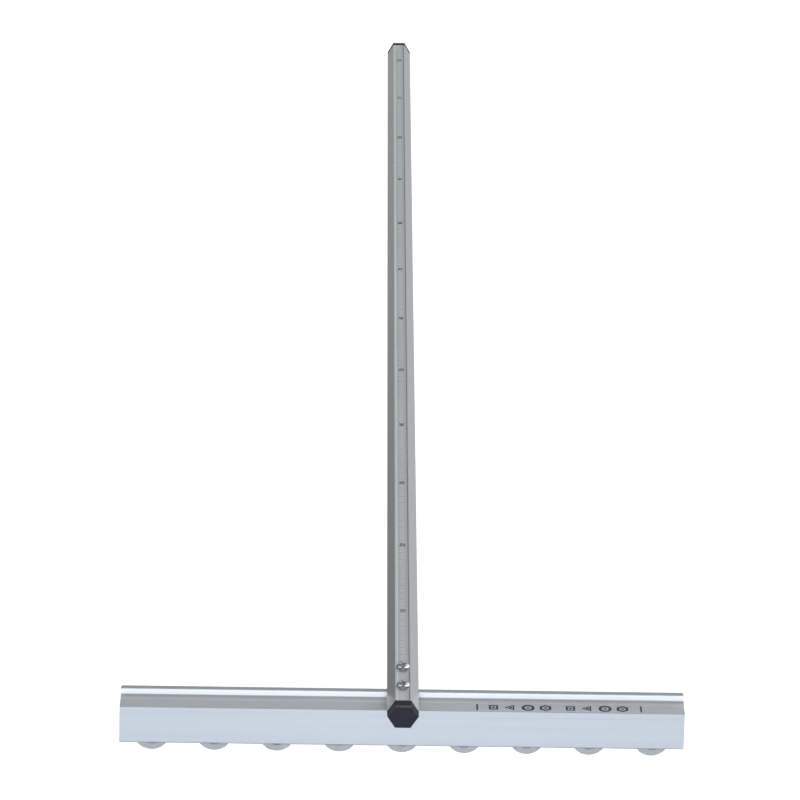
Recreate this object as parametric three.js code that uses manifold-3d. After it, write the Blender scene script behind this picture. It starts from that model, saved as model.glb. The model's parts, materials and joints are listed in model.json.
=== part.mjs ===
// Rolling T-square for cutting sheet glass: a hexagonal scale beam screwed across an
// extruded cross-head that runs on a row of nylon wheels.
//
// Millimetres. +X runs along the head, +Y along the beam away from the user, +Z up.
// The origin is the centre of the fence, which is the head's flat rear face.

import * as THREE from 'three';
import { mergeVertices } from 'three/addons/utils/BufferGeometryUtils.js';
import Module from 'manifold-3d';

const wasm = await Module();
wasm.setup();

// ---------------------------------------------------------------- driving dimensions

const SEAT_GAP = 0.1; // between faces that rest on each other
const FIT_GAP = 0.3; // between a piece and the cut that holds it
const OVERRUN = 1; // how far a cutter passes the face that it cuts

const HEAD_LENGTH = 499; // along the foot of the walls
const HEAD_DEPTH = 17.5;
const HEAD_HEIGHT = 41; // from the bottom edge of the walls to the ledge
const HEAD_WALL = 1.8;
const LEDGE_THICKNESS = 7;
const MID_WEB_TOP = 3.5;
const MID_WEB_BOTTOM = 1;
const RIDGE_THICKNESS = 4.2;
const RIDGE_HEIGHT = 9.8;
const COVE_RADIUS = 4; // hollow corner between the ledge and the ridge
const EDGE_RADIUS = 0.6;
const END_SLOPE = 2.4; // how far each end leans in from the foot to the top of the ridge
const END_TOP_ROUND = 2.4;
const END_FOOT_ROUND = 1.6;
const GROOVE_DROPS = [6, 12]; // lengthwise grooves, measured down from the ledge
const GROOVE_DEPTH = 0.06;
const GROOVE_HALF_WIDTH = 0.6;

const LEDGE_Z = HEAD_HEIGHT / 2;
const WALL_FOOT_Z = -HEAD_HEIGHT / 2;

const BEAM_ACROSS_CORNERS = 27.9;
const BEAM_HEIGHT = 25.8; // between the scale face and the underside
const BEAM_SEAT_DEPTH = 1.6; // how far the beam is let into the ledge
const BEAM_WALL = 2;
const BEAM_NEAR_Y = -33;
const BEAM_FAR_Y = 1235;
const BEAM_BOTTOM_Z = LEDGE_Z - BEAM_SEAT_DEPTH;
const BEAM_AXIS_Z = BEAM_BOTTOM_Z + BEAM_HEIGHT / 2;
const BEAM_TOP_Z = BEAM_BOTTOM_Z + BEAM_HEIGHT;

const STRIP_WIDTH = 11.6;
const STRIP_THICKNESS = 0.35;
const STRIP_RECESS_WIDTH = 12.8;
const STRIP_RECESS_DEPTH = 0.45;

const STRIP_BOTTOM_Z = BEAM_TOP_Z - STRIP_RECESS_DEPTH + SEAT_GAP / 2;
const STRIP_TOP_Z = STRIP_BOTTOM_Z + STRIP_THICKNESS;

const PLUG_FLANGE = 8;
const PLUG_CHAMFER = 1.6;
const PLUG_SPIGOT = 10;
const PLUG_SKIN = 2;
const PLUG_LEAD_IN = 0.8;

const CORE_NEAR_Y = -22;
const CORE_FAR_Y = 22;

const BEAM_SCREW_NEAR_Y = -12.8;
const BEAM_SCREW_FAR_Y = 12.6;
const BEAM_SCREW = { shank: 2.2, head: 6, rise: 3.4, hole: 2.8 };
const BEAM_SCREW_NEAR_LENGTH = 30;
const BEAM_SCREW_FAR_LENGTH = 16;

const SCREW_TIP = 0.6;
const SCREW_RIM_SHARE = 0.35; // straight rim under the dome, as a share of the head's rise
const RECESS_WIDTH_SHARE = 0.22; // cross recess, as shares of the head's radius and rise
const RECESS_DEPTH_SHARE = 0.55;

const WHEEL_COUNT = 9;
const WHEEL_PITCH = 55.3;
const WHEEL_RADIUS = 14.5;
const WHEEL_WIDTH = 10.5;
const WHEEL_AXIS_Z = -17;
const WHEEL_AXIS_Y = -HEAD_DEPTH / 2;
const WHEEL_EDGE = 1; // chamfer round the tread
const WHEEL_HOLLOW_RADIUS = 7.4;
const WHEEL_HOLLOW_DEPTH = 1.2;
const BUSH_RADIUS = 4;
const BUSH_LENGTH = 11.2;
const BUSH_GAP = 0.1; // running clearance between axle, bush and wheel
const AXLE_RADIUS = 2;

const CARRIER_LENGTH = 496;
const CARRIER_WALL = 0.8;
const CARRIER_FOOT_Z = WALL_FOOT_Z + 0.2;
const CARRIER_FRONT_Y = -HEAD_DEPTH + HEAD_WALL + FIT_GAP;
const CARRIER_REAR_Y = -HEAD_WALL - FIT_GAP;
const CARRIER_TOP_Z = MID_WEB_BOTTOM - SEAT_GAP;
const CARRIER_WEB_FOOT_Z = CARRIER_TOP_Z - CARRIER_WALL;
const CARRIER_SCREW = { shank: 1.7, head: 3.9, rise: 2.2, hole: 2 };
const CARRIER_SCREW_LENGTH = 5.2;
const CARRIER_SCREW_GAPS = [0.5, 2.5, 5.5, 7.5]; // between which wheels, counted in pitches

const LABEL_LENGTH = 145.4;
const LABEL_WIDTH = 8.4;
const LABEL_THICKNESS = 0.3;
const LABEL_START_X = 64.6;
const LABEL_FRONT_INSET = 0.8;

// ---------------------------------------------------------------- materials

const finish = (color, roughness, metalness) =>
  new THREE.MeshStandardMaterial({ color, roughness, metalness });

const ALUMINIUM = () => finish(0xc9ced4, 0.38, 0.9);
const SCALE_ALUMINIUM = () => finish(0xb9bdbf, 0.5, 0.8);
const BLACK_PLASTIC = () => finish(0x2b2a30, 0.5, 0);
const WHITE_NYLON = () => finish(0xd9dad8, 0.45, 0);
const BRIGHT_STEEL = () => finish(0xd8dade, 0.18, 1);
const ZINC_STEEL = () => finish(0xa9adb0, 0.4, 0.95);
const LABEL_FILM = () => finish(0xc4c6c8, 0.5, 0.2);

// ---------------------------------------------------------------- helpers

function bare(geometry) {
  const plain = geometry.clone();
  plain.deleteAttribute('normal');
  plain.deleteAttribute('uv');
  return mergeVertices(plain, 1e-4);
}

function toSolid(geometry) {
  const merged = bare(geometry);
  return new wasm.Manifold(new wasm.Mesh({
    numProp: 3,
    vertProperties: new Float32Array(merged.attributes.position.array),
    triVerts: new Uint32Array(merged.index.array),
  }));
}

function toGeometry(solid) {
  const mesh = solid.getMesh();
  const geometry = new THREE.BufferGeometry();
  geometry.setAttribute('position', new THREE.BufferAttribute(mesh.vertProperties, mesh.numProp));
  geometry.setIndex(new THREE.BufferAttribute(mesh.triVerts, 1));
  geometry.computeVertexNormals();
  return geometry;
}

function cut(geometry, cutters) {
  let solid = toSolid(geometry);
  for (const cutter of cutters) {
    solid = solid.subtract(toSolid(cutter));
  }
  return toGeometry(solid);
}

function piece(name, geometry, material) {
  const mesh = new THREE.Mesh(geometry, material);
  mesh.name = name;
  return mesh;
}

// A section drawn in (y, z), swept along X and centred on X = 0.
function sweepAlongX(shape, length, curveSegments = 5) {
  const geometry = new THREE.ExtrudeGeometry(shape, {
    depth: length,
    bevelEnabled: false,
    curveSegments,
  });
  geometry.translate(0, 0, -length / 2);
  const turn = new THREE.Matrix4().makeBasis(
    new THREE.Vector3(0, 1, 0),
    new THREE.Vector3(0, 0, 1),
    new THREE.Vector3(1, 0, 0),
  );
  return geometry.applyMatrix4(turn);
}

// A section drawn in (x, z), swept from nearY to farY.
function sweepAlongY(shape, nearY, farY, curveSegments = 4) {
  const geometry = new THREE.ExtrudeGeometry(shape, {
    depth: farY - nearY,
    bevelEnabled: false,
    curveSegments,
  });
  geometry.rotateX(Math.PI / 2);
  return geometry.translate(0, farY, 0);
}

// A profile of [radius, distance] pairs, turned about +Y (sides = 6 gives a hexagonal piece
// with corners on +X and -X).
function turnAboutY(profile, sides) {
  const points = profile.map(([radius, along]) => new THREE.Vector2(radius, along));
  return new THREE.LatheGeometry(points, sides, Math.PI / 2);
}

function turnAboutZ(profile, sides) {
  return turnAboutY(profile, sides).rotateX(Math.PI / 2);
}

function pinAlongY(radius, nearY, farY, sides) {
  const profile = [[0, nearY], [radius, nearY], [radius, farY], [0, farY]];
  return turnAboutY(profile, sides);
}

function pinAlongZ(radius, lowZ, highZ, sides) {
  const profile = [[0, lowZ], [radius, lowZ], [radius, highZ], [0, highZ]];
  return turnAboutZ(profile, sides);
}

function box(sizeX, sizeY, sizeZ, x, y, z) {
  return new THREE.BoxGeometry(sizeX, sizeY, sizeZ).translate(x, y, z);
}

// Half-widths and half-height of the beam's hexagon, moved in by an inset all round.
function beamHexagon(inset = 0) {
  const corner = BEAM_ACROSS_CORNERS / 2;
  const height = BEAM_HEIGHT / 2;
  const slant = Math.hypot(corner / 2, height);
  const atCorner = corner - (inset * slant) / height;
  const rise = height - inset;
  return { corner: atCorner, flat: atCorner - (corner / 2) * (rise / height), rise };
}

function hexagonOutline(path, inset) {
  const { corner, flat, rise } = beamHexagon(inset);
  path.moveTo(corner, BEAM_AXIS_Z);
  path.lineTo(flat, BEAM_AXIS_Z + rise);
  path.lineTo(-flat, BEAM_AXIS_Z + rise);
  path.lineTo(-corner, BEAM_AXIS_Z);
  path.lineTo(-flat, BEAM_AXIS_Z - rise);
  path.lineTo(flat, BEAM_AXIS_Z - rise);
  path.closePath();
  return path;
}

const wheelX = (index) => (index - (WHEEL_COUNT - 1) / 2) * WHEEL_PITCH;
const carrierScrewX = CARRIER_SCREW_GAPS.map((gap) => wheelX(gap));

// ---------------------------------------------------------------- the head

function headSection() {
  const front = -HEAD_DEPTH;
  const ridgeFront = -RIDGE_THICKNESS;
  const ridgeTop = LEDGE_Z + RIDGE_HEIGHT;
  const innerFront = front + HEAD_WALL;
  const innerRear = -HEAD_WALL;
  const edge = EDGE_RADIUS;
  const quarter = Math.PI / 2;
  const section = new THREE.Shape();
  section.moveTo(0, WALL_FOOT_Z);
  section.lineTo(0, ridgeTop - edge);
  section.absarc(-edge, ridgeTop - edge, edge, 0, quarter, false);
  section.lineTo(ridgeFront + edge, ridgeTop);
  section.absarc(ridgeFront + edge, ridgeTop - edge, edge, quarter, 2 * quarter, false);
  section.lineTo(ridgeFront, LEDGE_Z + COVE_RADIUS);
  section.absarc(ridgeFront - COVE_RADIUS, LEDGE_Z + COVE_RADIUS, COVE_RADIUS, 0, -quarter, true);
  section.lineTo(front + edge, LEDGE_Z);
  section.absarc(front + edge, LEDGE_Z - edge, edge, quarter, 2 * quarter, false);
  for (const drop of GROOVE_DROPS) {
    section.lineTo(front, LEDGE_Z - drop + GROOVE_HALF_WIDTH);
    section.lineTo(front + GROOVE_DEPTH, LEDGE_Z - drop);
    section.lineTo(front, LEDGE_Z - drop - GROOVE_HALF_WIDTH);
  }
  section.lineTo(front, WALL_FOOT_Z + edge);
  section.absarc(front + edge, WALL_FOOT_Z + edge, edge, 2 * quarter, 3 * quarter, false);
  section.lineTo(innerFront, WALL_FOOT_Z);
  section.lineTo(innerFront, MID_WEB_BOTTOM);
  section.lineTo(innerRear, MID_WEB_BOTTOM);
  section.lineTo(innerRear, WALL_FOOT_Z);
  section.closePath();

  const chamber = new THREE.Path();
  chamber.moveTo(innerFront, MID_WEB_TOP);
  chamber.lineTo(innerFront, LEDGE_Z - LEDGE_THICKNESS);
  chamber.lineTo(innerRear, LEDGE_Z - LEDGE_THICKNESS);
  chamber.lineTo(innerRear, MID_WEB_TOP);
  chamber.closePath();
  section.holes.push(chamber);
  return section;
}

// The gap in the ridge that the beam lies in, and the shallow seat milled under it.
function beamNotch() {
  const { corner, flat } = beamHexagon();
  const floor = BEAM_BOTTOM_Z - SEAT_GAP;
  const lowHalf = flat + 2 * FIT_GAP;
  const highHalf = corner + 2 * FIT_GAP;
  const outline = new THREE.Shape();
  outline.moveTo(-lowHalf, floor);
  outline.lineTo(lowHalf, floor);
  outline.lineTo(highHalf, BEAM_AXIS_Z);
  outline.lineTo(-highHalf, BEAM_AXIS_Z);
  outline.closePath();
  return sweepAlongY(outline, -HEAD_DEPTH - OVERRUN, OVERRUN);
}

// The head seen from the front: its ends lean in towards the ridge and have rounded corners.
function headFrontOutline() {
  const foot = HEAD_LENGTH / 2;
  const top = foot - END_SLOPE;
  const topZ = LEDGE_Z + RIDGE_HEIGHT;
  const slope = END_SLOPE / (topZ - WALL_FOOT_Z);
  const footSide = foot - END_FOOT_ROUND * slope;
  const topSide = top + END_TOP_ROUND * slope;
  const outline = new THREE.Shape();
  outline.moveTo(foot - END_FOOT_ROUND, WALL_FOOT_Z);
  outline.quadraticCurveTo(foot, WALL_FOOT_Z, footSide, WALL_FOOT_Z + END_FOOT_ROUND);
  outline.lineTo(topSide, topZ - END_TOP_ROUND);
  outline.quadraticCurveTo(top, topZ, top - END_TOP_ROUND, topZ);
  outline.lineTo(-top + END_TOP_ROUND, topZ);
  outline.quadraticCurveTo(-top, topZ, -topSide, topZ - END_TOP_ROUND);
  outline.lineTo(-footSide, WALL_FOOT_Z + END_FOOT_ROUND);
  outline.quadraticCurveTo(-foot, WALL_FOOT_Z, -foot + END_FOOT_ROUND, WALL_FOOT_Z);
  outline.closePath();
  return outline;
}

function headExtrusion() {
  const thread = pinAlongZ(
    BEAM_SCREW.shank + FIT_GAP,
    LEDGE_Z - LEDGE_THICKNESS - OVERRUN,
    LEDGE_Z + OVERRUN,
    20,
  ).translate(0, BEAM_SCREW_NEAR_Y, 0);
  const carrierHoles = carrierScrewX.map((x) =>
    pinAlongZ(CARRIER_SCREW.hole, MID_WEB_BOTTOM - OVERRUN, MID_WEB_TOP + OVERRUN, 16)
      .translate(x, WHEEL_AXIS_Y, 0));
  const bar = sweepAlongX(headSection(), HEAD_LENGTH + 2 * OVERRUN);
  const ends = sweepAlongY(headFrontOutline(), -HEAD_DEPTH - OVERRUN, OVERRUN, 4);
  const trimmed = toGeometry(toSolid(bar).intersect(toSolid(ends)));
  const geometry = cut(trimmed, [beamNotch(), thread, ...carrierHoles]);
  return piece('head_extrusion', geometry, ALUMINIUM());
}

function labelPlate() {
  const geometry = box(
    LABEL_LENGTH,
    LABEL_WIDTH,
    LABEL_THICKNESS,
    LABEL_START_X + LABEL_LENGTH / 2,
    -HEAD_DEPTH + LABEL_FRONT_INSET + LABEL_WIDTH / 2,
    LEDGE_Z + SEAT_GAP + LABEL_THICKNESS / 2,
  );
  return piece('label_plate', geometry, LABEL_FILM());
}

// ---------------------------------------------------------------- the beam

function beamSection() {
  const { corner, flat } = beamHexagon();
  const half = STRIP_RECESS_WIDTH / 2;
  const section = new THREE.Shape();
  section.moveTo(corner, BEAM_AXIS_Z);
  section.lineTo(flat, BEAM_TOP_Z);
  section.lineTo(half, BEAM_TOP_Z);
  section.lineTo(half, BEAM_TOP_Z - STRIP_RECESS_DEPTH);
  section.lineTo(-half, BEAM_TOP_Z - STRIP_RECESS_DEPTH);
  section.lineTo(-half, BEAM_TOP_Z);
  section.lineTo(-flat, BEAM_TOP_Z);
  section.lineTo(-corner, BEAM_AXIS_Z);
  section.lineTo(-flat, BEAM_BOTTOM_Z);
  section.lineTo(flat, BEAM_BOTTOM_Z);
  section.closePath();
  section.holes.push(hexagonOutline(new THREE.Path(), BEAM_WALL));
  return section;
}

function beamTube() {
  const nearHole = pinAlongZ(BEAM_SCREW.hole, BEAM_BOTTOM_Z - OVERRUN, BEAM_TOP_Z + OVERRUN, 20)
    .translate(0, BEAM_SCREW_NEAR_Y, 0);
  const farHole = pinAlongZ(BEAM_SCREW.hole, BEAM_AXIS_Z, BEAM_TOP_Z + OVERRUN, 20)
    .translate(0, BEAM_SCREW_FAR_Y, 0);
  const geometry = cut(sweepAlongY(beamSection(), BEAM_NEAR_Y, BEAM_FAR_Y), [nearHole, farHole]);
  return piece('beam_tube', geometry, ALUMINIUM());
}

function scaleStrip() {
  const length = BEAM_FAR_Y - BEAM_NEAR_Y;
  const blank = box(
    STRIP_WIDTH,
    length,
    STRIP_THICKNESS,
    0,
    (BEAM_FAR_Y + BEAM_NEAR_Y) / 2,
    STRIP_BOTTOM_Z + STRIP_THICKNESS / 2,
  );
  const holes = [BEAM_SCREW_NEAR_Y, BEAM_SCREW_FAR_Y].map((y) =>
    pinAlongZ(BEAM_SCREW.hole, STRIP_BOTTOM_Z - OVERRUN, STRIP_TOP_Z + OVERRUN, 20)
      .translate(0, y, 0));
  return piece('scale_strip', cut(blank, holes), SCALE_ALUMINIUM());
}

// A moulded plug: a hexagonal flange as wide as the tube and a hollow spigot inside it.
// Its outer face looks along -Y.
function endPlugGeometry() {
  const flange = BEAM_ACROSS_CORNERS / 2;
  const spigot = 2 * beamHexagon(BEAM_WALL).flat - 2 * FIT_GAP;
  const tallness = BEAM_HEIGHT / (flange * Math.sqrt(3));
  const faceY = -PLUG_FLANGE;
  const shoulderY = -SEAT_GAP;
  const profile = [
    [0, faceY],
    [flange - PLUG_CHAMFER, faceY],
    [flange, faceY + PLUG_CHAMFER],
    [flange, shoulderY],
    [spigot, shoulderY],
    [spigot, PLUG_SPIGOT - PLUG_LEAD_IN],
    [spigot - PLUG_LEAD_IN, PLUG_SPIGOT],
    [spigot - PLUG_SKIN, PLUG_SPIGOT],
    [spigot - PLUG_SKIN, -PLUG_FLANGE / 2],
    [0, -PLUG_FLANGE / 2],
  ];
  return turnAboutY(profile, 6).scale(1, 1, tallness).translate(0, 0, BEAM_AXIS_Z);
}

function nearEndPlug() {
  const geometry = endPlugGeometry().translate(0, BEAM_NEAR_Y, 0);
  return piece('near_end_plug', geometry, BLACK_PLASTIC());
}

function farEndPlug() {
  const geometry = endPlugGeometry().rotateZ(Math.PI).translate(0, BEAM_FAR_Y, 0);
  return piece('far_end_plug', geometry, BLACK_PLASTIC());
}

// A solid bar inside the tube, so that the screws clamp metal and not a hollow.
function beamCore() {
  const outline = hexagonOutline(new THREE.Shape(), BEAM_WALL + FIT_GAP);
  const nearHole = pinAlongZ(BEAM_SCREW.hole, LEDGE_Z, BEAM_TOP_Z, 20)
    .translate(0, BEAM_SCREW_NEAR_Y, 0);
  const farThread = pinAlongZ(BEAM_SCREW.shank + FIT_GAP, LEDGE_Z, BEAM_TOP_Z, 20)
    .translate(0, BEAM_SCREW_FAR_Y, 0);
  const geometry = cut(sweepAlongY(outline, CORE_NEAR_Y, CORE_FAR_Y), [nearHole, farThread]);
  return piece('beam_core', geometry, ZINC_STEEL());
}

// A pan-head screw hanging below its head, with a cross recess. Its head sits on Z = 0.
function crossHeadScrew(size, length) {
  const shoulder = size.rise * SCREW_RIM_SHARE;
  const dome = [];
  const steps = 3;
  for (let step = 1; step <= steps; step += 1) {
    const angle = (step / steps) * (Math.PI / 2);
    dome.push([size.head * Math.cos(angle), shoulder + (size.rise - shoulder) * Math.sin(angle)]);
  }
  dome[steps - 1][0] = 0;
  const profile = [
    [0, -length],
    [size.shank - SCREW_TIP, -length],
    [size.shank, -length + SCREW_TIP],
    [size.shank, 0],
    [size.head, 0],
    [size.head, shoulder],
    ...dome,
  ];
  const blank = turnAboutZ(profile, 16);
  const slotWidth = size.head * RECESS_WIDTH_SHARE;
  const slotDepth = size.rise * RECESS_DEPTH_SHARE;
  const slotHeight = slotDepth + OVERRUN;
  const slotZ = size.rise - slotDepth + slotHeight / 2;
  return cut(blank, [
    box(size.head, slotWidth, slotHeight, 0, 0, slotZ),
    box(slotWidth, size.head, slotHeight, 0, 0, slotZ),
  ]);
}

function beamScrews() {
  const seatZ = STRIP_TOP_Z + SEAT_GAP / 2;
  const near = crossHeadScrew(BEAM_SCREW, BEAM_SCREW_NEAR_LENGTH)
    .translate(0, BEAM_SCREW_NEAR_Y, seatZ);
  const far = crossHeadScrew(BEAM_SCREW, BEAM_SCREW_FAR_LENGTH)
    .translate(0, BEAM_SCREW_FAR_Y, seatZ);
  return [
    piece('beam_screw_near', near, BRIGHT_STEEL()),
    piece('beam_screw_far', far, BRIGHT_STEEL()),
  ];
}

// ---------------------------------------------------------------- the running gear

// A sheet-metal channel, open below, that the axles are riveted into.
function wheelCarrier() {
  const section = new THREE.Shape();
  section.moveTo(CARRIER_FRONT_Y, CARRIER_FOOT_Z);
  section.lineTo(CARRIER_FRONT_Y + CARRIER_WALL, CARRIER_FOOT_Z);
  section.lineTo(CARRIER_FRONT_Y + CARRIER_WALL, CARRIER_WEB_FOOT_Z);
  section.lineTo(CARRIER_REAR_Y - CARRIER_WALL, CARRIER_WEB_FOOT_Z);
  section.lineTo(CARRIER_REAR_Y - CARRIER_WALL, CARRIER_FOOT_Z);
  section.lineTo(CARRIER_REAR_Y, CARRIER_FOOT_Z);
  section.lineTo(CARRIER_REAR_Y, CARRIER_TOP_Z);
  section.lineTo(CARRIER_FRONT_Y, CARRIER_TOP_Z);
  section.closePath();
  const cutters = [];
  for (let index = 0; index < WHEEL_COUNT; index += 1) {
    cutters.push(pinAlongY(AXLE_RADIUS + BUSH_GAP, -HEAD_DEPTH, 0, 12)
      .translate(wheelX(index), 0, WHEEL_AXIS_Z));
  }
  for (const x of carrierScrewX) {
    cutters.push(pinAlongZ(
      CARRIER_SCREW.hole,
      CARRIER_WEB_FOOT_Z - OVERRUN,
      CARRIER_TOP_Z + OVERRUN,
      16,
    ).translate(x, WHEEL_AXIS_Y, 0));
  }
  const geometry = cut(sweepAlongX(section, CARRIER_LENGTH), cutters);
  return piece('wheel_carrier', geometry, ZINC_STEEL());
}

function carrierScrews() {
  return carrierScrewX.map((x, index) => {
    const geometry = crossHeadScrew(CARRIER_SCREW, CARRIER_SCREW_LENGTH)
      .rotateX(Math.PI)
      .translate(x, WHEEL_AXIS_Y, CARRIER_WEB_FOOT_Z - SEAT_GAP);
    return piece(`carrier_screw_${index + 1}`, geometry, ZINC_STEEL());
  });
}

function wheelGeometry() {
  const half = WHEEL_WIDTH / 2;
  const floor = half - WHEEL_HOLLOW_DEPTH;
  const bore = BUSH_RADIUS + BUSH_GAP;
  const profile = [
    [bore, -floor],
    [WHEEL_HOLLOW_RADIUS, -floor],
    [WHEEL_HOLLOW_RADIUS, -half],
    [WHEEL_RADIUS - WHEEL_EDGE, -half],
    [WHEEL_RADIUS, -half + WHEEL_EDGE],
    [WHEEL_RADIUS, half - WHEEL_EDGE],
    [WHEEL_RADIUS - WHEEL_EDGE, half],
    [WHEEL_HOLLOW_RADIUS, half],
    [WHEEL_HOLLOW_RADIUS, floor],
    [bore, floor],
    [bore, -floor],
  ];
  return turnAboutY(profile, 32);
}

function bushGeometry() {
  const half = BUSH_LENGTH / 2;
  const bore = AXLE_RADIUS + BUSH_GAP;
  const profile = [
    [bore, -half],
    [BUSH_RADIUS, -half],
    [BUSH_RADIUS, half],
    [bore, half],
    [bore, -half],
  ];
  return turnAboutY(profile, 12);
}

function wheelSet(index) {
  const number = index + 1;
  const place = [wheelX(index), WHEEL_AXIS_Y, WHEEL_AXIS_Z];
  const axleHalf = (CARRIER_REAR_Y - CARRIER_FRONT_Y) / 2;
  const wheel = piece(`wheel_${number}`, wheelGeometry(), WHITE_NYLON());
  const bush = piece(`wheel_bush_${number}`, bushGeometry(), ZINC_STEEL());
  const pin = pinAlongY(AXLE_RADIUS, -axleHalf, axleHalf, 12);
  const axle = piece(`axle_${number}`, pin, ZINC_STEEL());
  const set = [wheel, bush, axle];
  for (const part of set) {
    part.position.set(...place);
  }
  return set;
}

// ---------------------------------------------------------------- assembly

const tSquare = new THREE.Group();
tSquare.add(
  headExtrusion(),
  labelPlate(),
  beamTube(),
  scaleStrip(),
  nearEndPlug(),
  farEndPlug(),
  beamCore(),
  ...beamScrews(),
  wheelCarrier(),
  ...carrierScrews(),
);
for (let index = 0; index < WHEEL_COUNT; index += 1) {
  tSquare.add(...wheelSet(index));
}

export default tSquare;
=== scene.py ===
"""Looks for the rolling T-square: finely rounded metal, nylon wheels, a printed scale, a studio.

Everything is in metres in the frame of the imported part: +X along the head, +Y along the beam
away from the head, +Z up, with the origin at the centre of the head's rear face.
"""

import json
import math

import bmesh
import bpy
from mathutils import Matrix, Vector

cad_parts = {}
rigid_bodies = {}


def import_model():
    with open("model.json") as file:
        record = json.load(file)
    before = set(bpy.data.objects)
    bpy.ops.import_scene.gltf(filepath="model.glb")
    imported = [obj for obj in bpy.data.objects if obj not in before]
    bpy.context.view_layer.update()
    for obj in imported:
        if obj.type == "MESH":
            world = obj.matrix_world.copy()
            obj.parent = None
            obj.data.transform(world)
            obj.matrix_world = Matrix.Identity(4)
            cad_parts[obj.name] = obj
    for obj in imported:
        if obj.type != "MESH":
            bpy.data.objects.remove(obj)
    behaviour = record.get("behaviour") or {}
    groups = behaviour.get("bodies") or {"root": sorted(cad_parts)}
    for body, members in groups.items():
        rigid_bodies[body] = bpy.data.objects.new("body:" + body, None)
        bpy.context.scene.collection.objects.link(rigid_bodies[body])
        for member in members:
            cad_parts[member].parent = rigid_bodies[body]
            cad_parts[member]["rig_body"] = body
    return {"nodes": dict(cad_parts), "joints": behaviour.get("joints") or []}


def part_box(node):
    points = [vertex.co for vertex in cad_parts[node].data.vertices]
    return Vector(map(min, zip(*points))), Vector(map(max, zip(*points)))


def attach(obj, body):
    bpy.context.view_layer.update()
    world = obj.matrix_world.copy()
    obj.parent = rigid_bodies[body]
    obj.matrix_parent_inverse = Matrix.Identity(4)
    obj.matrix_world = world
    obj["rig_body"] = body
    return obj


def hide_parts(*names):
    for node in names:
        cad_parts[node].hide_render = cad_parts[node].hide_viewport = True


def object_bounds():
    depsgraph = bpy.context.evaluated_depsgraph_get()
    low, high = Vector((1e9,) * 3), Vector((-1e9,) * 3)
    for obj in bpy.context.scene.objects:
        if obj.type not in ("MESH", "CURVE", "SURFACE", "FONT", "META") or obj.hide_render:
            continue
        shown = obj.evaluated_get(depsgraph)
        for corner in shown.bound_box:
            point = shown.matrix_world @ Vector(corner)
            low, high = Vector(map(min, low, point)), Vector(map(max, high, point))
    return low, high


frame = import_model()
cad_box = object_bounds()

MM = 0.001

# ------------------------------------------------------------------ camera

CAMERA_AT = Vector((-0.0404, -1.8970, 1.5949))
CAMERA_TURN = (56.40, -1.162, -0.187)
CAMERA_LENS = 125.3


def make_camera():
    data = bpy.data.cameras.new("camera")
    data.lens = CAMERA_LENS
    data.sensor_width = 36.0
    data.clip_end = 50.0
    camera = bpy.data.objects.new("camera", data)
    camera.location = CAMERA_AT
    camera.rotation_euler = [math.radians(angle) for angle in CAMERA_TURN]
    bpy.context.scene.collection.objects.link(camera)
    bpy.context.scene.camera = camera


make_camera()

# ------------------------------------------------------------------ places, from the frame

HEAD_LOW, HEAD_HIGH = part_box("head_extrusion")
RIDGE_RISE = 9.8 * MM
HEAD_TOP_FACE = HEAD_HIGH.z - RIDGE_RISE
STRIP_LOW, STRIP_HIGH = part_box("scale_strip")
LABEL_LOW, LABEL_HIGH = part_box("label_plate")
WHEEL_COUNT = sum(1 for joint in frame["joints"] if joint["name"].startswith("wheel_"))

# ------------------------------------------------------------------ materials

# These tones were matched to one photo, so some of them stand in for its light and shade.
CORNER_SHADE = 0.52  # how far painted shade darkens the head's hollow corner
HEAD_METALLIC = (0.72, 0.40)  # of the walls and the ledge, and of the ridge
HEAD_SHADE_STEPS = (
    # painted shade: the metal below this height, over this blend, has this share of its full tone
    (HEAD_TOP_FACE, 0.3 * MM, 0.80),
    (HEAD_LOW.z + 1.3 * MM, 0.6 * MM, 0.28),
)


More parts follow.
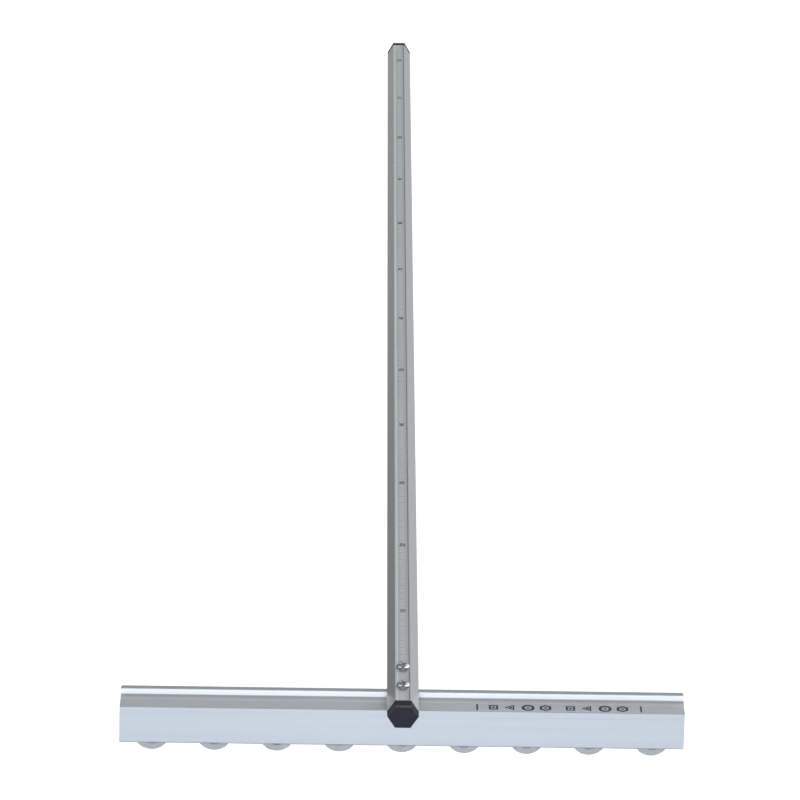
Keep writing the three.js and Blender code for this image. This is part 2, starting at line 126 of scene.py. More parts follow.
class Nodes:
    """A few short calls for wiring one material."""

    def __init__(self, name):
        self.material = bpy.data.materials.new(name)
        self.material.use_nodes = True
        self.tree = self.material.node_tree
        self.shader = self.tree.nodes["Principled BSDF"]
        self.coordinate = self.tree.nodes.new("ShaderNodeTexCoord").outputs["Object"]

    def add(self, kind, **settings):
        node = self.tree.nodes.new(kind)
        for key, value in settings.items():
            setattr(node, key, value)
        return node

    def link(self, output, socket):
        self.tree.links.new(output, socket)

    def drive(self, socket, output):
        """Feeds one input of the shader."""
        self.link(output, self.shader.inputs[socket])

    def parts(self, vector):
        """The X, Y and Z of a vector."""
        node = self.add("ShaderNodeSeparateXYZ")
        self.link(vector, node.inputs["Vector"])
        return node.outputs

    def noise_over(self, mapping, detail, roughness):
        self.link(self.coordinate, mapping.inputs["Vector"])
        node = self.add("ShaderNodeTexNoise")
        node.inputs["Scale"].default_value = 1.0
        node.inputs["Detail"].default_value = detail
        node.inputs["Roughness"].default_value = roughness
        self.link(mapping.outputs["Vector"], node.inputs["Vector"])
        return node.outputs["Fac"]

    def noise(self, scale, detail):
        mapping = self.add("ShaderNodeMapping")
        mapping.inputs["Scale"].default_value = scale
        return self.noise_over(mapping, detail, 0.55)

    def scratches(self, turn, length, width):
        """Noise drawn out into slanting lines on the X-Z face."""
        mapping = self.add("ShaderNodeMapping", vector_type="TEXTURE")
        mapping.inputs["Rotation"].default_value = (0.0, math.radians(turn), 0.0)
        mapping.inputs["Scale"].default_value = (length, width, width)
        return self.noise_over(mapping, 2.0, 0.5)

    def ranged(self, value, low, high, out_low, out_high):
        node = self.add("ShaderNodeMapRange")
        node.inputs["From Min"].default_value = low
        node.inputs["From Max"].default_value = high
        node.inputs["To Min"].default_value = out_low
        node.inputs["To Max"].default_value = out_high
        self.link(value, node.inputs["Value"])
        return node.outputs["Result"]

    def math(self, operation, first, second):
        node = self.add("ShaderNodeMath", operation=operation)
        for socket, value in zip(node.inputs, (first, second)):
            if isinstance(value, (int, float)):
                socket.default_value = value
            else:
                self.link(value, socket)
        return node.outputs["Value"]

    def mixed(self, factor, first, second):
        node = self.add("ShaderNodeMix", data_type="RGBA")
        self.link(factor, node.inputs["Factor"])
        for socket, value in ((node.inputs[6], first), (node.inputs[7], second)):
            if isinstance(value, tuple):
                socket.default_value = (*value, 1.0)
            else:
                self.link(value, socket)
        return node.outputs[2]

    def bump(self, height, strength, distance):
        node = self.add("ShaderNodeBump")
        node.inputs["Strength"].default_value = strength
        node.inputs["Distance"].default_value = distance
        self.link(height, node.inputs["Height"])
        self.drive("Normal", node.outputs["Normal"])

    def set(self, **values):
        for key, value in values.items():
            self.shader.inputs[key.replace("_", " ")].default_value = value

    def drawn_along(self, direction, amount):
        """Spreads reflections across lines that run in one direction."""
        line = self.add("ShaderNodeCombineXYZ")
        for socket, value in zip(line.inputs, direction):
            socket.default_value = value
        self.drive("Tangent", line.outputs["Vector"])
        self.set(Anisotropic=amount, Anisotropic_Rotation=0.25)


def facing(look):
    """The way a face looks, as X, Y and Z from -1 to 1."""
    return look.parts(look.add("ShaderNodeTexCoord").outputs["Normal"])


def above(look, height, blend):
    """0 below a height, 1 above it."""
    return look.ranged(look.parts(look.coordinate)["Z"], height - blend, height, 0.0, 1.0)


def scaled(colour, share):
    return tuple(share * part for part in colour)


def dulled_by_height(look, tone, bright, dull, steps):
    """The metal's two tones, darkened by painted shade below each height, with bright and dark fine
    scratches.
    """
    base = look.mixed(tone, dull, bright)
    for height, blend, share in steps:
        lower = look.mixed(tone, scaled(dull, share), scaled(bright, share))
        base = look.mixed(above(look, height, blend), lower, base)
    if steps:
        rising = look.ranged(look.scratches(55.0, 12.0 * MM, 0.7 * MM), 0.62, 0.72, 0.0, 0.30)
        base = look.mixed(rising, base, bright)
        falling = look.ranged(look.scratches(-30.0, 9.0 * MM, 0.8 * MM), 0.63, 0.73, 0.0, 0.22)
        base = look.mixed(falling, base, scaled(dull, 0.75))
    return base


def shaded_corner_and_edge(look, metal, rise, upward_tone_and_shade):
    """Paints shade on the faces that lean up a little, in the hollow corner, and on the ridge's top
    edge.
    """
    leaning = look.ranged(rise, 0.0, 0.15, 0.0, CORNER_SHADE)
    corner = look.math("MULTIPLY", leaning, look.ranged(rise, 0.55, 0.9, 1.0, 0.0))
    metal = look.mixed(corner, metal, scaled(upward_tone_and_shade, 0.3))
    # painted shade along the ridge's top edge
    ridge_top_shade = above(look, HEAD_HIGH.z - 0.2 * MM, 0.3 * MM)
    return look.mixed(ridge_top_shade, metal, scaled(upward_tone_and_shade, 0.78))


def drawn_aluminium(name, along, bright, dull, rough, upward_tone_and_shade, matt_top, steps=()):
    """Satin extruded aluminium with die lines along one axis, faint smudges and pin marks.

    Faces that look up are greyer, partly their own tone and partly painted shade, and more matt.
    Each step is a height, a blend and a share that painted shade darkens the metal below that
    height to, and only the head has any.
    """
    look = Nodes(name)
    fine = tuple(4.0 if axis == along else 2600.0 for axis in "XYZ")
    broad = tuple(1.5 if axis == along else 420.0 for axis in "XYZ")
    lines = look.noise(fine, detail=3.0)
    bands = look.noise(broad, detail=2.0)
    smudge = look.noise((22.0, 22.0, 22.0), detail=5.0)
    pits = look.noise((900.0, 900.0, 900.0), detail=1.0)
    streak = look.math("ADD", look.math("MULTIPLY", lines, 0.6), look.math("MULTIPLY", bands, 0.4))
    tone = look.ranged(streak, 0.35, 0.65, 0.0, 1.0)
    # painted shade: the head's walls are darker below the ledge, and darkest along the foot
    base = dulled_by_height(look, tone, bright, dull, steps)
    pin_marks = look.ranged(pits, 0.70, 0.76, 0.0, 0.35)
    pitted = look.mixed(pin_marks, base, scaled(dull, 0.72))
    rise = facing(look)["Z"]
    # faces that look up take a greyer tone, partly their own and partly painted shade
    top = look.ranged(rise, 0.0, 0.27, 0.0, 1.0)
    metal = look.mixed(top, pitted, upward_tone_and_shade)
    if steps:
        metal = shaded_corner_and_edge(look, metal, rise, upward_tone_and_shade)
    look.drive("Base Color", metal)
    satin = look.ranged(streak, 0.3, 0.7, rough - 0.05, rough + 0.05)
    touched = look.ranged(smudge, 0.35, 0.7, -0.01, 0.015)
    matt = look.math("ADD", touched, look.math("MULTIPLY", top, matt_top))
    look.drive("Roughness", look.math("ADD", satin, matt))
    if steps:
        on_ridge = above(look, HEAD_TOP_FACE, 0.3 * MM)
        metallic = look.ranged(on_ridge, 0.0, 1.0, *HEAD_METALLIC)
        look.drive("Metallic", metallic)
    else:
        look.set(Metallic=1.0)
    look.drawn_along((1.0, 0.01, 0.02) if along == "X" else (0.01, 1.0, 0.02), 0.6)
    look.bump(streak, 0.35, 0.00003)
    return look.material


def scale_face():
    """Matt silver scale face: a painted highlight along its left edge, painted shade darker towards
    the right.
    """
    look = Nodes("scale_face")
    across = look.parts(look.coordinate)["X"]
    # a painted highlight along the left edge, and painted shade towards the right
    left = look.ranged(across, -4.6 * MM, -4.0 * MM, 0.0, 1.0)
    right = look.ranged(across, 0.5 * MM, 5.8 * MM, 0.0, 1.0)
    grain = look.noise((700.0, 9.0, 700.0), detail=3.0)
    stain = look.noise((60.0, 14.0, 60.0), detail=4.0)
    grained = look.ranged(grain, 0.3, 0.7, 0.0, 1.0)
    plain = look.mixed(grained, (0.60, 0.61, 0.60), (0.66, 0.67, 0.66))
    shaded = look.mixed(right, plain, (0.46, 0.48, 0.50))
    mottled = look.mixed(look.ranged(stain, 0.45, 0.75, 0.0, 0.35), shaded, (0.48, 0.52, 0.49))
    look.drive("Base Color", look.mixed(left, (0.78, 0.79, 0.79), mottled))
    look.drive("Roughness", look.ranged(grain, 0.3, 0.7, 0.42, 0.52))
    look.set(Metallic=0.85)
    look.bump(grain, 0.25, 0.00002)
    return look.material


def top_rim(look):
    """1 where a face leans up and also to the front or rear, as a rounded top rim does."""
    normal = facing(look)
    sideways = look.math("MULTIPLY", normal["Y"], normal["Y"])
    leaning = look.ranged(sideways, 0.10, 0.30, 0.0, 1.0)
    return look.math("MULTIPLY", leaning, look.ranged(normal["Z"], 0.25, 0.45, 0.0, 1.0))


def moulded_plastic(name, colour, scuffed_colour, rough, shine=0.5, rim_colour=None):
    """Fine-grained plastic; a rim colour stands in for a highlight on its top rim."""
    look = Nodes(name)
    look.set(Specular_IOR_Level=shine)
    grain = look.noise((2200.0, 2200.0, 2200.0), detail=2.0)
    flow = look.noise((90.0, 90.0, 90.0), detail=5.0)
    scuff = look.ranged(flow, 0.52, 0.72, 0.0, 0.5)
    base = look.mixed(scuff, colour, scuffed_colour)
    if rim_colour:
        base = look.mixed(top_rim(look), base, rim_colour)
    look.drive("Base Color", base)
    look.drive("Roughness", look.ranged(flow, 0.3, 0.7, rough - 0.06, rough + 0.08))
    look.bump(grain, 0.25, 0.00004)
    return look.material


def nylon():
    """Nylon that lets a little light through, with faint turning marks.

    Its tone is a mid grey of painted shade over the nylon's white, and looks white only under this
    studio's low front light.
    """
    look = Nodes("white_nylon")
    cloud = look.noise((120.0, 120.0, 120.0), detail=4.0)
    grain = look.noise((1800.0, 500.0, 1800.0), detail=3.0)
    clouded = look.ranged(cloud, 0.35, 0.7, 0.0, 1.0)
    # mid grey tone: painted shade on the white nylon
    tone = look.mixed(clouded, (0.28, 0.288, 0.30), (0.245, 0.252, 0.265))
    look.drive("Base Color", tone)
    look.drive("Roughness", look.ranged(grain, 0.3, 0.7, 0.36, 0.50))
    look.set(Subsurface_Weight=0.25, Subsurface_Scale=0.004)
    look.set(Subsurface_Radius=(1.0, 1.0, 0.95))
    look.bump(grain, 0.2, 0.00003)
    return look.material


def plated_steel(name, colour, dull, rough, spangle):
    look = Nodes(name)
    cloud = look.noise((spangle, spangle, spangle), detail=5.0)
    grain = look.noise((3000.0, 3000.0, 3000.0), detail=2.0)
    clouded = look.ranged(cloud, 0.35, 0.7, 0.0, 1.0)
    look.drive("Base Color", look.mixed(clouded, colour, dull))
    look.drive("Roughness", look.ranged(cloud, 0.3, 0.7, rough - 0.04, rough + 0.08))
    look.set(Metallic=1.0)
    look.bump(grain, 0.12, 0.00002)
    return look.material


def ink(name, colour, rough=0.5):
    look = Nodes(name)
    wear = look.noise((800.0, 800.0, 800.0), detail=3.0)
    faded = tuple(part + 0.12 for part in colour)
    fading = look.ranged(wear, 0.55, 0.8, 0.0, 0.5)
    look.drive("Base Color", look.mixed(fading, colour, faded))
    look.drive("Roughness", look.ranged(wear, 0.3, 0.7, rough - 0.05, rough + 0.1))
    return look.material


HEAD_METAL = drawn_aluminium(
    "head_aluminium", "X", (0.90, 0.93, 0.97), (0.82, 0.85, 0.90), 0.36, (0.53, 0.54, 0.54), 0.26,
    steps=HEAD_SHADE_STEPS)
BEAM_METAL = drawn_aluminium(
    "beam_aluminium", "Y", (0.80, 0.81, 0.82), (0.70, 0.71, 0.72), 0.38, (0.66, 0.67, 0.67), 0.04)
SCALE_FACE = scale_face()
BLACK = moulded_plastic(
    "black_plastic", (0.008, 0.007, 0.013), (0.018, 0.017, 0.024), 0.50, shine=0.42,
    rim_colour=(0.048, 0.047, 0.052))
NYLON = nylon()
BRIGHT = plated_steel("bright_steel", (0.72, 0.75, 0.82), (0.52, 0.55, 0.63), 0.16, 300.0)
ZINC = plated_steel("zinc_steel", (0.66, 0.68, 0.69), (0.54, 0.56, 0.57), 0.34, 160.0)
FILM = moulded_plastic("label_film", (0.44, 0.45, 0.46), (0.49, 0.50, 0.51), 0.46)
INK = ink("scale_ink", (0.02, 0.022, 0.025))
TICK_INK = ink("tick_ink", (0.22, 0.23, 0.24))
# painted shadow for the dark line along the scale's right edge
EDGE_SHADOW_INK = ink("edge_shadow_ink", (0.09, 0.10, 0.14))

# ------------------------------------------------------------------ mesh helpers


def new_piece(name, mesh):
    piece = bpy.data.objects.new(name, mesh)
    bpy.context.scene.collection.objects.link(piece)
    return piece


def mesh_from(work, name):
    """Turns a bmesh into a mesh and frees it."""
    mesh = bpy.data.meshes.new(name)
    work.to_mesh(mesh)
    work.free()
    return mesh


def smooth(piece, angle):
    for polygon in piece.data.polygons:
        polygon.use_smooth = True
    piece.data.set_sharp_from_angle(angle=math.radians(angle))


def settle(piece):
    """Applies a piece's modifiers."""
    bpy.context.view_layer.update()
    evaluated = piece.evaluated_get(bpy.context.evaluated_depsgraph_get())
    mesh = bpy.data.meshes.new_from_object(evaluated)
    piece.modifiers.clear()
    piece.data = mesh
    return piece


def round_edges(piece, width, segments=2, angle=25.0):
    for polygon in piece.data.polygons:
        polygon.use_smooth = True
    bevel = piece.modifiers.new("edge", "BEVEL")
    bevel.width = width
    bevel.segments = segments
    bevel.limit_method = "ANGLE"
    bevel.angle_limit = math.radians(angle)
    bevel.use_clamp_overlap = True
    flat = piece.modifiers.new("flat", "WEIGHTED_NORMAL")
    flat.mode = "FACE_AREA"
    flat.weight = 100
    return settle(piece)


def finish_piece(piece, material, body, slot, *nodes):
    piece.data.materials.clear()
    piece.data.materials.append(material)
    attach(piece, body)
    if nodes:
        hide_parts(*nodes)
    return piece


def joined_faces(node):
    """A CAD node's mesh with its flat faces joined up again."""
    work = bmesh.new()
    work.from_mesh(frame["nodes"][node].data)
    bmesh.ops.remove_doubles(work, verts=work.verts, dist=1e-6)
    bmesh.ops.dissolve_limit(
        work, angle_limit=math.radians(0.5), verts=work.verts, edges=work.edges,
    )
    return mesh_from(work, node + "_fine")


def softened(node, width, segments, material, slot, angle=25.0):
    """The CAD node again, with its edges rounded as the real piece's are."""
    piece = new_piece(node + "_fine", joined_faces(node))
    round_edges(piece, width, segments, angle)
    body = frame["nodes"][node]["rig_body"]
    return finish_piece(piece, material, body, slot, node)


def lathe(name, profile, sides, closed=False):
    """Turns a profile of (radius, height) pairs about Z; radii of zero make closed ends."""
    work = bmesh.new()
    rings = []
    for radius, height in profile:
        if radius < 1e-7:
            rings.append([work.verts.new((0.0, 0.0, height))])
            continue
        ring = []
        for step in range(sides):
            angle = 2.0 * math.pi * step / sides
            ring.append(work.verts.new((radius * math.cos(angle), radius * math.sin(angle), height)))
        rings.append(ring)
    pairs = list(zip(rings, rings[1:]))
    if closed:
        pairs.append((rings[-1], rings[0]))
    for lower, upper in pairs:
        for step in range(sides):
            after = (step + 1) % sides
            if len(lower) == 1:
                work.faces.new((lower[0], upper[after], upper[step]))
            elif len(upper) == 1:
                work.faces.new((lower[step], lower[after], upper[0]))
            else:
                work.faces.new((lower[step], lower[after], upper[after], upper[step]))
    bmesh.ops.recalc_face_normals(work, faces=work.faces)
    return new_piece(name, mesh_from(work, name))


def slab(work, low, high):
    """Adds a closed box to a bmesh."""
    corners = [
        work.verts.new((x, y, z))
        for z in (low[2], high[2])
        for x, y in ((low[0], low[1]), (high[0], low[1]), (high[0], high[1]), (low[0], high[1]))
    ]
    work.faces.new(corners[3::-1])
    work.faces.new(corners[4:])
    for side in range(4):
        after = (side + 1) % 4
        work.faces.new((corners[side], corners[after], corners[after + 4], corners[side + 4]))


def arc(centre, radius, start, end, steps):
    """Points (x, z) round a quarter or other arc, angles in degrees."""
    points = []
    for step in range(steps + 1):
        angle = math.radians(start + (end - start) * step / steps)
        points.append((centre[0] + radius * math.cos(angle), centre[1] + radius * math.sin(angle)))
    return points


def subtract(piece, cutter):
    cut = piece.modifiers.new("cut", "BOOLEAN")
    cut.operation = "DIFFERENCE"
    cut.solver = "EXACT"
    cut.object = cutter
    settle(piece)
    bpy.data.objects.remove(cutter)
    return piece


# ------------------------------------------------------------------ head, beam and label

softened("head_extrusion", 0.15 * MM, 2, HEAD_METAL, "aluminium_extrusion", angle=30.0)
softened("beam_tube", 0.45 * MM, 3, BEAM_METAL, "aluminium_extrusion", angle=40.0)
softened("scale_strip", 0.05 * MM, 1, SCALE_FACE, "scale_aluminium", angle=40.0)
softened("near_end_plug", 0.55 * MM, 3, BLACK, "black_plastic")
softened("far_end_plug", 0.55 * MM, 3, BLACK, "black_plastic")
softened("beam_core", 0.3 * MM, 2, ZINC, "zinc_steel", angle=40.0)
softened("wheel_carrier", 0.12 * MM, 2, ZINC, "zinc_steel", angle=40.0)
softened("label_plate", 0.08 * MM, 2, FILM, "label_film")

# ------------------------------------------------------------------ printed scale

PRINT_HEIGHT = 0.03 * MM
PRINT_SINK = 0.01 * MM
SCALE_START_MM = 20
SCALE_END_MM = 1220
TICK_LEFT = -4.4 * MM
TICK_SIZES = {10: (5.4 * MM, 0.40 * MM), 5: (3.6 * MM, 0.22 * MM), 1: (2.0 * MM, 0.08 * MM)}
NUMBER_STEP_MM = 100
NUMBER_HEIGHT = 4.8 * MM
NUMBER_STRETCH = (0.72, 1.08)
NUMBER_CENTRE_X = 0.4 * MM
NUMBER_LAG = 7.4 * MM
FONT_SIZE_PER_HEIGHT = 1.35
STROKE_GROWTH = 0.14 * MM
# the painted shadow line along the scale's right edge: its insets from that edge, and its gap at each
# end
EDGE_SHADOW_INSETS = (0.75 * MM, 0.08 * MM)
EDGE_SHADOW_END_GAP = 1 * MM


def tick_size(position):
    for step, size in TICK_SIZES.items():
        if position % step == 0:
            return size
    return TICK_SIZES[1]


def scale_ticks():
    work = bmesh.new()
    base = STRIP_HIGH.z - PRINT_SINK
    for position in range(SCALE_START_MM, SCALE_END_MM + 1):
        length, width = tick_size(position)
        y = position * MM
        low = (TICK_LEFT, y - width / 2, base)
        high = (TICK_LEFT + length, y + width / 2, STRIP_HIGH.z + PRINT_HEIGHT)
        slab(work, low, high)
    piece = new_piece("scale_ticks", mesh_from(work, "scale_ticks"))
    return finish_piece(piece, TICK_INK, "head", "scale_aluminium")


def scale_number(value):
    """A number that reads along the beam, its foot to the right."""
    text = bpy.data.curves.new(f"number_{value}", "FONT")
    text.body = str(value)
    text.size = NUMBER_HEIGHT * FONT_SIZE_PER_HEIGHT
    text.offset = STROKE_GROWTH
    text.extrude = PRINT_HEIGHT / 2
    text.resolution_u = 3
    text.align_x = "CENTER"
    text.align_y = "CENTER"
    writing = new_piece(f"writing_{value}", text)
    bpy.context.view_layer.update()
    mesh = bpy.data.meshes.new_from_object(
        writing.evaluated_get(bpy.context.evaluated_depsgraph_get()))
    bpy.data.objects.remove(writing)
    mesh.transform(Matrix.Diagonal((*NUMBER_STRETCH, 1.0, 1.0)))
    turn = Matrix.Rotation(math.radians(90.0), 4, "Z")
    place = Vector((NUMBER_CENTRE_X, value * 10 * MM - NUMBER_LAG, STRIP_HIGH.z + PRINT_HEIGHT / 2))
    mesh.transform(Matrix.Translation(place) @ turn)
    piece = new_piece(f"scale_number_{value}", mesh)
    return finish_piece(piece, INK, "head", "scale_aluminium")


def scale_border():
    """A dark line of painted shadow along the right edge of the scale, where its gap lies in shade.
    """
    work = bmesh.new()
    left, right = (STRIP_HIGH.x - inset for inset in EDGE_SHADOW_INSETS)
    slab(
        work,
        (left, STRIP_LOW.y + EDGE_SHADOW_END_GAP, STRIP_HIGH.z - PRINT_SINK),
        (right, STRIP_HIGH.y - EDGE_SHADOW_END_GAP, STRIP_HIGH.z + PRINT_HEIGHT),
    )
    piece = new_piece("scale_border", mesh_from(work, "scale_border"))
    return finish_piece(piece, EDGE_SHADOW_INK, "head", "scale_aluminium")


scale_ticks()
scale_border()
for centimetres in range(10, SCALE_END_MM // 10 + 1, NUMBER_STEP_MM // 10):
    scale_number(centimetres)

# ------------------------------------------------------------------ label marks

MARK_SIDES = (4, 3, 24, 6)
MARK_PITCH = 15.2 * MM
MARK_RADIUS = 4.4 * MM
MARK_LINE = 1.9 * MM
GROUP_STARTS = (15.1 * MM, 82.7 * MM)
MARK_STRETCH = (1.32, 0.92)
DOT_HALF = (1.3 * MM, 0.8 * MM)
END_BAR = (1.4 * MM, 0.1 * MM)


def outline_mark(work, centre, sides, top):
    """A closed ring-shaped mark with a dot in it."""
    bottom = LABEL_HIGH.z - PRINT_SINK
    loops = []
    for radius, z in (
        (MARK_RADIUS, bottom),
        (MARK_RADIUS, top),
        (MARK_RADIUS - MARK_LINE, top),
        (MARK_RADIUS - MARK_LINE, bottom),
    ):
        loop = []
        for step in range(sides):
            angle = 2.0 * math.pi * (step + 0.5) / sides
            x = centre[0] + MARK_STRETCH[0] * radius * math.cos(angle)
            y = centre[1] + MARK_STRETCH[1] * radius * math.sin(angle)
            loop.append(work.verts.new((x, y, z)))
        loops.append(loop)
    for first, second in zip(loops, loops[1:] + loops[:1]):
        for step in range(sides):
            after = (step + 1) % sides
            work.faces.new((first[step], first[after], second[after], second[step]))
    slab(
        work,
        (centre[0] - DOT_HALF[0], centre[1] - DOT_HALF[1], bottom),
        (centre[0] + DOT_HALF[0], centre[1] + DOT_HALF[1], top),
    )


def label_print():
    work = bmesh.new()
    top = LABEL_HIGH.z + PRINT_HEIGHT
    middle = (LABEL_LOW.y + LABEL_HIGH.y) / 2
    for start in GROUP_STARTS:
        for index, sides in enumerate(MARK_SIDES):
            outline_mark(work, (LABEL_LOW.x + start + index * MARK_PITCH, middle), sides, top)
    bar, inset = END_BAR
    for left in (LABEL_LOW.x + inset, LABEL_HIGH.x - inset - bar):
        slab(
            work,
            (left, LABEL_LOW.y + inset, LABEL_HIGH.z - PRINT_SINK),
            (left + bar, LABEL_HIGH.y - inset, top),
        )
    bmesh.ops.recalc_face_normals(work, faces=work.faces)
    piece = new_piece("label_print", mesh_from(work, "label_print"))
    return finish_piece(piece, INK, "head", "label_film")


label_print()

# ------------------------------------------------------------------ screws

# shares of the head's radius
SHANK_RADIUS = 0.42
TALL_HEAD = 0.64
LOW_HEAD = 0.56
ARM_HALF_WIDTH = 0.17
# shares of the head's height
RIM_HEIGHT = 0.34
RECESS_DEPTH = 0.62
DRIVER_TURN = 20.0


def recess_arm(radius, top, depth, turn):
    """One tapered arm pair of the cross-shaped driver recess."""
    half_width = radius * ARM_HALF_WIDTH
    work = bmesh.new()
    spin = Matrix.Rotation(math.radians(turn), 4, "Z")
    rings = []
    for reach, half, z in (
        (0.30 * radius, 0.6 * half_width, top - depth),
        (0.66 * radius, half_width, top + 0.2 * depth),
    ):
        corners = ((-reach, -half), (reach, -half), (reach, half), (-reach, half))
        rings.append([work.verts.new(spin @ Vector((x, y, z))) for x, y in corners])
    work.faces.new(rings[0][::-1])
    work.faces.new(rings[1])
    for side in range(4):
        after = (side + 1) % 4
        work.faces.new((rings[0][side], rings[0][after], rings[1][after], rings[1][side]))
    return new_piece("recess_arm", mesh_from(work, "recess_arm"))


def screw_profile(radius, length, rise):
    """Section of a pan-head screw that stands on its tip."""
    shank = radius * SHANK_RADIUS
    rim = rise * RIM_HEIGHT
    seat = length - rise
    profile = [(0.0, 0.0), (shank - 0.4 * MM, 0.0), (shank, 0.6 * MM), (shank, seat)]
    profile += [(radius - 0.15 * MM, seat), (radius, seat + 0.15 * MM), (radius, seat + rim)]
    steps = 8
    for step in range(1, steps):
        angle = math.pi / 2 * step / steps
        profile.append((radius * math.cos(angle) ** 0.8, seat + rim + (rise - rim) * math.sin(angle)))
    profile.append((0.0, length))
    return profile


def pan_screw(node, material, slot, head_up):
    """A pan-head screw in the box of its CAD node, with a cross recess."""
    low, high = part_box(node)
    radius = (high.x - low.x) / 2
    length = high.z - low.z
    rise = radius * (TALL_HEAD if head_up else LOW_HEAD)
    piece = lathe(node + "_fine", screw_profile(radius, length, rise), 48)
    for turn in (0.0, 90.0):
        subtract(piece, recess_arm(radius, length, rise * RECESS_DEPTH, turn))
    middle = ((low.x + high.x) / 2, (low.y + high.y) / 2)
    if head_up:
        place = Matrix.Translation((middle[0], middle[1], low.z))
    else:
        place = Matrix.Translation((middle[0], middle[1], high.z)) @ Matrix.Rotation(math.pi, 4, "X")
    twist = Matrix.Rotation(math.radians(DRIVER_TURN), 4, "Z")
    piece.data.transform(place @ twist)
    smooth(piece, 35.0)
    return finish_piece(piece, material, "head", slot, node)


pan_screw("beam_screw_near", BRIGHT, "bright_steel", True)
pan_screw("beam_screw_far", BRIGHT, "bright_steel", True)
for name in sorted(frame["nodes"]):
    if name.startswith("carrier_screw"):
        pan_screw(name, ZINC, "zinc_steel", False)

# ------------------------------------------------------------------ wheels


def turned(node, profile, sides, material, slot, angle=35.0):
    """A turned piece about the Y axis through the middle of its CAD node."""
    low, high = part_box(node)
    piece = lathe(node + "_fine", profile, sides, closed=profile[0][0] > 0.0)
    turn = Matrix.Rotation(math.radians(90.0), 4, "X")
    piece.data.transform(Matrix.Translation((low + high) / 2) @ turn)
    smooth(piece, angle)
    return finish_piece(piece, material, frame["nodes"][node]["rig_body"], slot, node)


def wheel_profile(node):
    """Section of a wheel: crowned tread, rounded rims, shallow dished faces and a thick hub."""
    low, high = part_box(node)
    radius = (high.z - low.z) / 2
    half = (high.y - low.y) / 2
    edge = 1.2 * MM
    hollow = 7.4 * MM
    dish = half - 1.2 * MM
    bore = 4.1 * MM
    hub = 5.9 * MM
    chamfer = 0.3 * MM
    crest = 0.25 * MM
    side = [(bore, half - chamfer), (bore + chamfer, half)]
    side += [(hub - chamfer, half), (hub, half - chamfer), (hub + chamfer, dish)]
    side += [(hollow - 0.6 * MM, dish), (hollow, dish + 0.5 * MM), (hollow + chamfer, half)]
    side += arc((radius - edge, half - edge), edge, 90.0, 0.0, 6)
    ridge = [(radius, crest), (radius, -crest)]
    mirrored = [(x, -z) for x, z in reversed(side)]
    return side + ridge + mirrored


def axle_profile(node):
    low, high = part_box(node)
    radius = (high.z - low.z) / 2
    half = (high.y - low.y) / 2
    chamfer = 0.25 * MM
    return [
        (0.0, -half), (radius - chamfer, -half), (radius, -half + chamfer),
        (radius, half - chamfer), (radius - chamfer, half), (0.0, half),
    ]


def bush_profile(node):
    low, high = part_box(node)
    radius = (high.z - low.z) / 2
    half = (high.y - low.y) / 2
    bore = 2.1 * MM
    chamfer = 0.3 * MM
    return [
        (bore, -half + chamfer), (bore + chamfer, -half), (radius - chamfer, -half),
        (radius, -half + chamfer), (radius, half - chamfer), (radius - chamfer, half),
        (bore + chamfer, half), (bore, half - chamfer),
    ]


for number in range(1, WHEEL_COUNT + 1):
    turned(f"wheel_{number}", wheel_profile(f"wheel_{number}"), 96, NYLON, "white_nylon")
    turned(f"wheel_bush_{number}", bush_profile(f"wheel_bush_{number}"), 40, ZINC, "zinc_steel")
    turned(f"axle_{number}", axle_profile(f"axle_{number}"), 32, ZINC, "zinc_steel")

# ------------------------------------------------------------------ studio

FLOOR_SIZE = 30.0
FLOOR_DROP = 0.2 * MM
FLOOR_GLOW = 0.62
SKY = (
    # direction, how tightly it gathers, colour added there
    ((0.0, -0.80, -0.60), 3.0, (0.42, 0.49, 0.60)),
    ((0.0, -0.80, 0.60), 4.0, (0.16, 0.17, 0.18)),
    ((-0.45, 0.85, -0.25), 4.0, (0.035, 0.035, 0.034)),
    ((0.55, 0.75, -0.30), 4.0, (0.37, 0.38, 0.39)),
    ((-0.25, 0.96, -0.10), 30.0, (0.55, 0.55, 0.54)),
    ((0.0, 0.78, 0.62), 3.0, (0.12, 0.12, 0.12)),
    ((0.10, 0.84, 0.54), 25.0, (0.72, 0.73, 0.74)),
    ((0.75, 0.45, 0.50), 14.0, (1.60, 1.70, 1.90)),
)
SKY_BASE = (0.166, 0.166, 0.168)
COOL = (0.90, 0.945, 1.0)
WHITE = (1.0, 1.0, 1.0)
LIGHTS = (
    # name, place, aim, size, watts, colour, whether it shows in reflections
    ("front_low", (0.0, -1.20, 0.36), (0.0, 0.0, 0.0), (0.4, 0.5), 16.8, COOL, False),
    ("left_bank", (-2.6, 0.8, 3.6), (0.0, 0.6, 0.0), (1.4, 3.4), 20.0, WHITE, True),
    ("right_bank", (2.6, 0.8, 3.6), (0.0, 0.6, 0.0), (1.4, 3.4), 40.0, WHITE, True),
)


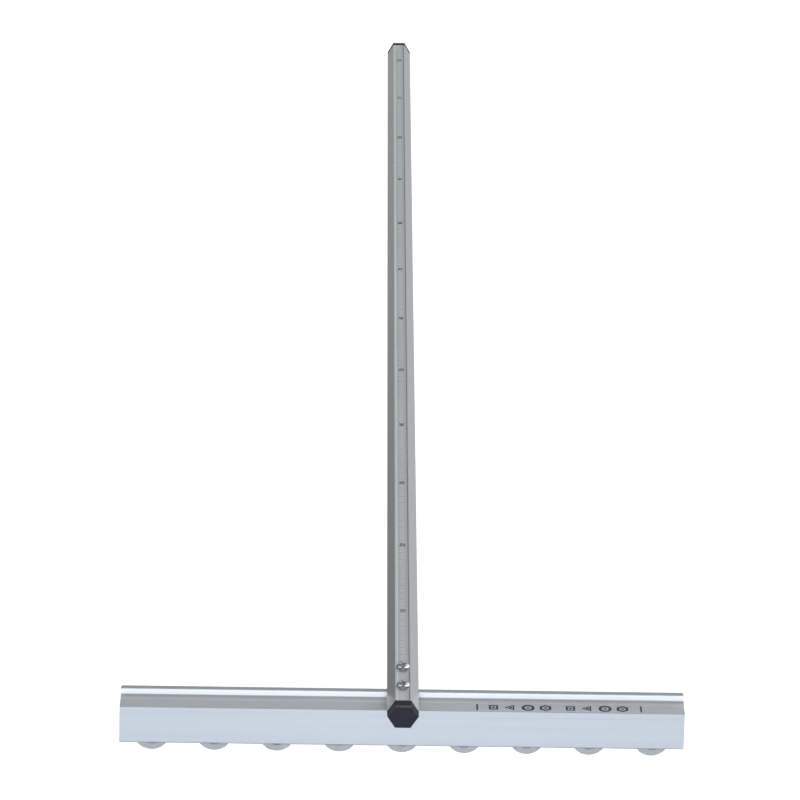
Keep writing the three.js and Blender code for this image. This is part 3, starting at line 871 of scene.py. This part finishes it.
def floor():
    """A pale floor that glows a little by itself and doesn't show in reflections."""
    look = Nodes("pale_floor")
    haze = look.noise((3.0, 3.0, 3.0), detail=2.0)
    tone = look.ranged(haze, 0.3, 0.7, 0.0, 1.0)
    pale = look.mixed(tone, (0.93, 0.93, 0.935), (0.95, 0.95, 0.95))
    look.drive("Base Color", pale)
    look.set(Roughness=0.9, Specular_IOR_Level=0.1)
    look.set(Emission_Color=(*WHITE, 1.0), Emission_Strength=FLOOR_GLOW)
    half = FLOOR_SIZE / 2
    z = cad_box[0][2] - FLOOR_DROP
    mesh = bpy.data.meshes.new("floor")
    corners = [(-half, -half, z), (half, -half, z), (half, half, z), (-half, half, z)]
    mesh.from_pydata(corners, [], [(0, 1, 2, 3)])
    piece = new_piece("floor", mesh)
    piece.data.materials.append(look.material)
    piece.visible_glossy = False


def area_light(name, at, aim, size, watts, colour, in_reflections):
    data = bpy.data.lights.new(name, "AREA")
    data.shape = "RECTANGLE"
    data.size, data.size_y = size
    data.energy = watts
    data.color = colour
    light = bpy.data.objects.new(name, data)
    light.location = at
    direction = Vector(aim) - Vector(at)
    light.rotation_euler = direction.to_track_quat("-Z", "Y").to_euler()
    light.visible_glossy = in_reflections
    bpy.context.scene.collection.objects.link(light)


def sky_step(tree, kind, operation, linked, socket, fixed, fixed_socket):
    """One sum in the sky, with one input linked and the other set."""
    node = tree.nodes.new(kind)
    node.operation = operation
    node.inputs[fixed_socket].default_value = fixed
    tree.links.new(linked, node.inputs[socket])
    return node


def soft_sky():
    """A dim room with a few broad pale walls, each a smooth glow round one direction."""
    world = bpy.data.worlds.new("studio")
    world.use_nodes = True
    tree = world.node_tree
    direction = tree.nodes.new("ShaderNodeTexCoord").outputs["Generated"]
    total = None
    for toward, gather, colour in SKY:
        unit = Vector(toward).normalized()
        dot = sky_step(tree, "ShaderNodeVectorMath", "DOT_PRODUCT", direction, 0, unit, 1)
        ahead = sky_step(tree, "ShaderNodeMath", "MAXIMUM", dot.outputs["Value"], 0, 0.0, 1)
        power = sky_step(tree, "ShaderNodeMath", "POWER", ahead.outputs["Value"], 0, gather, 1)
        glow = sky_step(
            tree, "ShaderNodeVectorMath", "SCALE", power.outputs["Value"], "Scale", colour, 0)
        add = sky_step(
            tree, "ShaderNodeVectorMath", "ADD", glow.outputs["Vector"], 0, SKY_BASE, 1)
        if total is not None:
            tree.links.new(total, add.inputs[1])
        total = add.outputs["Vector"]
    background = tree.nodes["Background"]
    tree.links.new(total, background.inputs["Color"])
    world.cycles.sampling_method = "NONE"
    bpy.context.scene.world = world


def studio():
    floor()
    soft_sky()
    for light in LIGHTS:
        area_light(*light)
    bpy.context.scene.view_settings.view_transform = "Standard"


studio()
